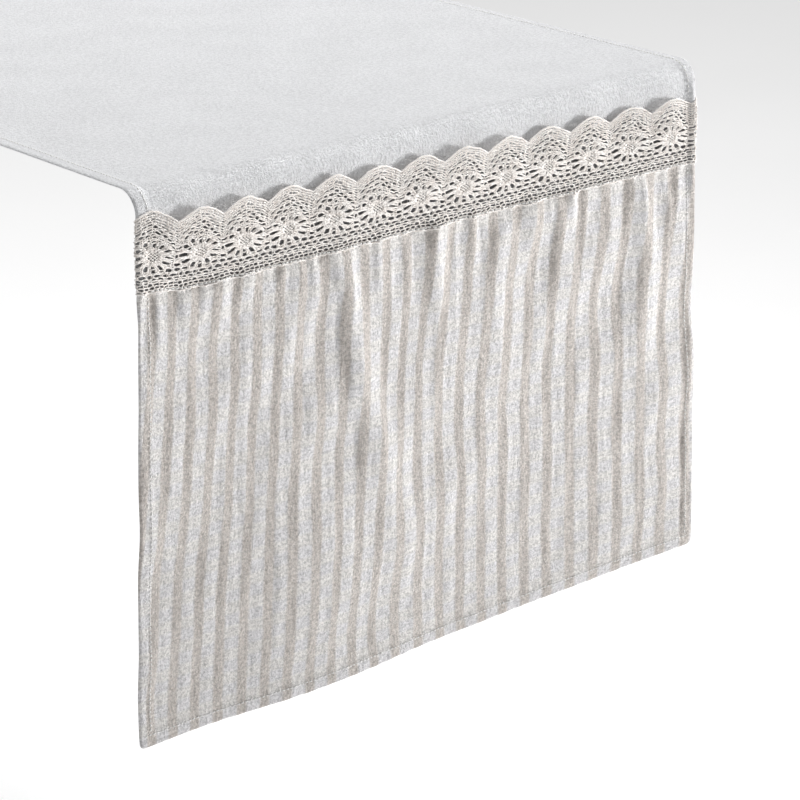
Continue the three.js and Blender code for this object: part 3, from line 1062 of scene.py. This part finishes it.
class End:
    """One end of the runner: name is front or back, turn how far it is turned round z."""

    def __init__(self, name, turn, folds, seed):
        self.name, self.seed = name, seed
        self.drape = Drape(turn, folds, seed)
        self.outward = -math.cos(turn)  # the way the end faces along y
        self.drawn = drawn_stripes(seed)
        self.hangs_with = []

    def bend(self, piece):
        """Cloth that crosses the table edge is drawn bent over it and attached to no body; its place is kept
        in its mesh.
        """
        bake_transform(piece)

    def hang(self, piece):
        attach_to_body(piece, f"{self.name}_drop")
        self.hangs_with.append(piece)

    def plain_drawn(self, u, s):
        """The plain cloth is one piece, so the back end's pattern goes on from the centre's."""
        return (u, s) if self.outward < 0 else (-u, -2 * TOP_HALF - s)

    def cloth(self, fabric, name, us, ss, faces, edges, *nodes):
        """A sheet of this end's plain or striped cloth, in place of nodes of the frame."""
        material, drawn = {"plain": (PLAIN, self.plain_drawn), "striped": (STRIPED, self.drawn)}[fabric]
        piece = cloth_piece(f"{self.name}_{name}", self.drape, us, ss, *faces, material, edges, drawn)
        return given(piece, f"{fabric}_fabric", *(f"{self.name}_{node}" for node in nodes))

    def sew(self, name, thread, line, faces, row):
        """Stitches from one flat place to another, in place of one of the frame's threads.

        row numbers them for their random draws.
        """
        piece = stitches(f"{self.name}_{name}", self.drape, *line, faces, self.seed + row)
        return given(piece, "sewing_thread", f"{self.name}_{thread}")

    def sew_across(self, name, half, line, faces, row):
        """A row of stitches right across the end."""
        ends = (-half, line), (half, line)
        self.hang(self.sew(f"{name}_stitches", f"{name}_thread", ends, faces, row))

    def make_cloths(self):
        seam, lower = s_at(SEAM), s_at(LOWER_EDGE)
        wide = spaced(-HALF_WIDTH, HALF_WIDTH, COLUMN, FINE_EDGE, FINE)
        rows = spaced(SPLIT, seam, ROW)
        self.plain = self.cloth("plain", "plain_cloth", wide, rows, SHEET_FACES, SIDES_ROUNDED,
                                "fold", "plain_strip")
        self.bend(self.plain)
        rows = np.concatenate([
            spaced(seam, seam + ROWS_EDGE, 2 * FINE)[:-1],
            spaced(seam + ROWS_EDGE, lower - ROWS_EDGE, ROW)[:-1],
            spaced(lower - ROWS_EDGE, lower, FINE),
        ])
        edges = (True, True, False, True)
        self.striped = self.cloth("striped", "striped_cloth", wide, rows, SHEET_FACES, edges, "striped_panel")
        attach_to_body(self.striped, f"{self.name}_drop")

    def make_side_hem(self, name, side):
        seam, lower = s_at(SEAM), s_at(LOWER_EDGE)
        columns, line = hem_columns(side), side * (HALF_WIDTH - STITCH_IN)
        for fabric, low, high, node, attach in (
            ("plain", SPLIT, seam, "fold_hem", self.bend),
            ("striped", seam, s_at(HEM_START), "side_hem", self.hang),
        ):
            rows = spaced(low, high, HEM_ROW)
            attach(self.cloth(fabric, f"{fabric}_hem_{name}", columns, rows, TURNED_FACES, SIDES_ROUNDED,
                              f"{node}_{name}"))
        for place, low, high, thread, row, attach in (
            ("bend", SPLIT, s_at(LACE_TIP), "fold_thread", 20, self.bend),
            ("side", seam + 5 * MM, lower - STITCH_IN, "side_thread", 21, self.hang),
        ):
            ends = (line, low), (line, high)
            attach(self.sew(f"{place}_stitches_{name}", f"{thread}_{name}", ends, BOTH_FACES, row))

    def make_end_hem(self):
        lower, half = s_at(LOWER_EDGE), HALF_WIDTH - EDGE_ROLL
        across = spaced(-half, half, CROSS_STEP)
        down = spaced(s_at(HEM_START), lower - EDGE_ROLL, *HEM_STEPS)
        faces = level(TURNED_BACK - 0.2 * MM), level(TURNED_FRONT)
        self.hang(self.cloth("striped", "turned_end_hem", across, down, faces, ALL_ROUNDED, "end_hem"))
        self.sew_across("end", HALF_WIDTH - 3 * MM, lower - STITCH_IN, ((face_n, 1), (faces[0], -1)), 22)

    def make_seam(self):
        """The cut edges of the seam on the underside, and its stitching."""
        half, seam, top = HALF_WIDTH - HEM_WIDTH, s_at(SEAM), s_at(ALLOWANCE_TOP)
        across, down = spaced(-half, half, CROSS_STEP), spaced(top, seam + 0.4 * MM, 1 * MM)

        def curled(u, s):
            return -1.1 * MM + 0.35 * MM * smooth((s - top) / (8 * MM)) + 0.15 * MM * np.sin(u / (5 * MM))

        faces = curled, level(0.05 * MM)
        self.hang(self.cloth("striped", "seam_edges", across, down, faces, ALL_ROUNDED, "seam_allowance"))
        self.sew_across("seam", half, seam - 1.5 * MM, ((level(-0.85 * MM), -1),), 23)

    def make_lace(self):
        lace = lace_band(f"{self.name}_lace", self.drape)
        self.hang(given(lace, "lace_thread", f"{self.name}_lace_band"))
        line, faces = s_at(LACE_BOTTOM) - 1.4 * MM, ((level(CLOTH_FRONT + 1.15 * MM), 1),)
        self.sew_across("lace", HALF_WIDTH - HEM_WIDTH, line, faces, 24)

    def make(self, sides):
        self.make_cloths()
        for side_name, side in sides:
            self.make_side_hem(side_name, side)
        self.make_end_hem()
        self.make_seam()
        self.make_lace()


def make_centre():
    """The cloth that lies on the table between the two ends, with its side hems."""
    drape = Drape(0.0, [], CENTRE_SEED)
    low, high = SPLIT, -2 * TOP_HALF - SPLIT
    wide = spaced(-HALF_WIDTH, HALF_WIDTH, CENTRE_COLUMN, FINE_EDGE, FINE)
    rows, hem_rows = spaced(high, low, CENTRE_ROW), spaced(high, low, HEM_ROW)
    cloth = cloth_piece("centre_cloth", drape, wide, rows, *SHEET_FACES, PLAIN, SIDES_ROUNDED)
    given(cloth, "plain_fabric", "centre_panel")
    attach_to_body(cloth, "root")
    trims = []
    for side_name, side in (("left", -1), ("right", 1)):
        name, columns = f"centre_turned_{side_name}", hem_columns(side)
        strip = cloth_piece(name, drape, columns, hem_rows, *TURNED_FACES, PLAIN, SIDES_ROUNDED)
        trims.append(given(strip, "plain_fabric", f"centre_hem_{side_name}"))
        name, line = f"centre_stitches_{side_name}", side * (HALF_WIDTH - STITCH_IN)
        row = stitches(name, drape, (line, high), (line, low), BOTH_FACES, 50 + side)
        trims.append(given(row, "sewing_thread", f"centre_thread_{side_name}"))
    for piece in trims:
        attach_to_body(piece, "root")


def mirrored(crest, height, widths):
    """A lower fold of the back end, from one of the front end's."""
    return [(-across, depth) for across, depth in crest], height * 0.9, widths


BACK_FOLDS = [mirrored(*fold) for fold in FRONT_FOLDS[::2]]
End("front", 0.0, FRONT_FOLDS, FRONT_SEED).make((("left", -1), ("right", 1)))
End("back", math.pi, BACK_FOLDS, BACK_SEED).make((("left", 1), ("right", -1)))
make_centre()

# ---- floor and light

FLOOR, FLOOR_REACH = TABLE_TOP - 0.75, 14
SKY_LEFT, SKY_RIGHT = 0.20, 0.45
KEY_AWAY = 1.75, 0.80, -0.36  # to the right of the middle, in front of the hanging end, and its height
KEY_AIM = 0.08, -0.10  # to the right of the middle, and its height
KEY_SIZE, KEY_POWER, KEY_SPREAD = 0.6, 1.13, 20
TOP_PLACE, TOP_SIZE, TOP_POWER = (0.4, 0.2, 2.2), 1.6, 53


def make_floor():
    nodes = Nodes("pale_floor")
    tone = nodes.ramp(nodes.noise(nodes.place(), 3, 3.0), 0.3, 0.7, 0.0, 1.0)
    pale = nodes.mix(tone, colour(0.90, 0.90, 0.90), colour(0.92, 0.92, 0.92))
    nodes.set(Base_Color=pale, Roughness=0.9, Emission_Color=colour(1, 1, 1), Emission_Strength=0.35)
    corners = ((-1, -1), (1, -1), (1, 1), (-1, 1))
    points = np.array([(x * FLOOR_REACH, y * FLOOR_REACH, FLOOR) for x, y in corners], float)
    new_piece("floor", points, [[0, 1, 2, 3]], nodes.material)


def area_light(name, place, target, size, power, spread=180):
    """A round light that shines within the angle spread, in degrees."""
    data = bpy.data.lights.new(name, "AREA")
    data.shape = "DISK"
    data.size = size
    data.energy = power
    data.spread = math.radians(spread)
    light = bpy.data.objects.new(name, data)
    bpy.context.scene.collection.objects.link(light)
    light.location = place
    light.rotation_euler = (Vector(target) - Vector(place)).to_track_quat("-Z", "Y").to_euler()


def studio_sky():
    """A soft white surround, brighter on the right than on the left."""
    world = bpy.data.worlds.new("studio")
    world.use_nodes = True
    tree = world.node_tree
    background = tree.nodes["Background"]
    place = tree.nodes.new("ShaderNodeTexCoord")
    split = tree.nodes.new("ShaderNodeSeparateXYZ")
    strength = tree.nodes.new("ShaderNodeMapRange")
    tree.links.new(place.outputs["Generated"], split.inputs[0])
    tree.links.new(split.outputs["X"], strength.inputs["Value"])
    for name, value in (("From Min", -1.0), ("From Max", 1.0), ("To Min", SKY_LEFT), ("To Max", SKY_RIGHT)):
        strength.inputs[name].default_value = value
    tree.links.new(strength.outputs[0], background.inputs["Strength"])
    background.inputs["Color"].default_value = (1, 1, 1, 1)
    bpy.context.scene.world = world


def make_light():
    studio_sky()
    for name, way in (("key", 1), ("back_key", -1)):
        right, ahead, height = KEY_AWAY
        place = (way * right, way * (FRONT_FACE - ahead), height)
        aim = (way * KEY_AIM[0], way * FRONT_FACE, KEY_AIM[1])
        area_light(name, place, aim, KEY_SIZE, KEY_POWER, KEY_SPREAD)
    area_light("top", TOP_PLACE, (0, 0, 0), TOP_SIZE, TOP_POWER)
    bpy.context.scene.view_settings.view_transform = "Standard"


make_floor()
make_light()
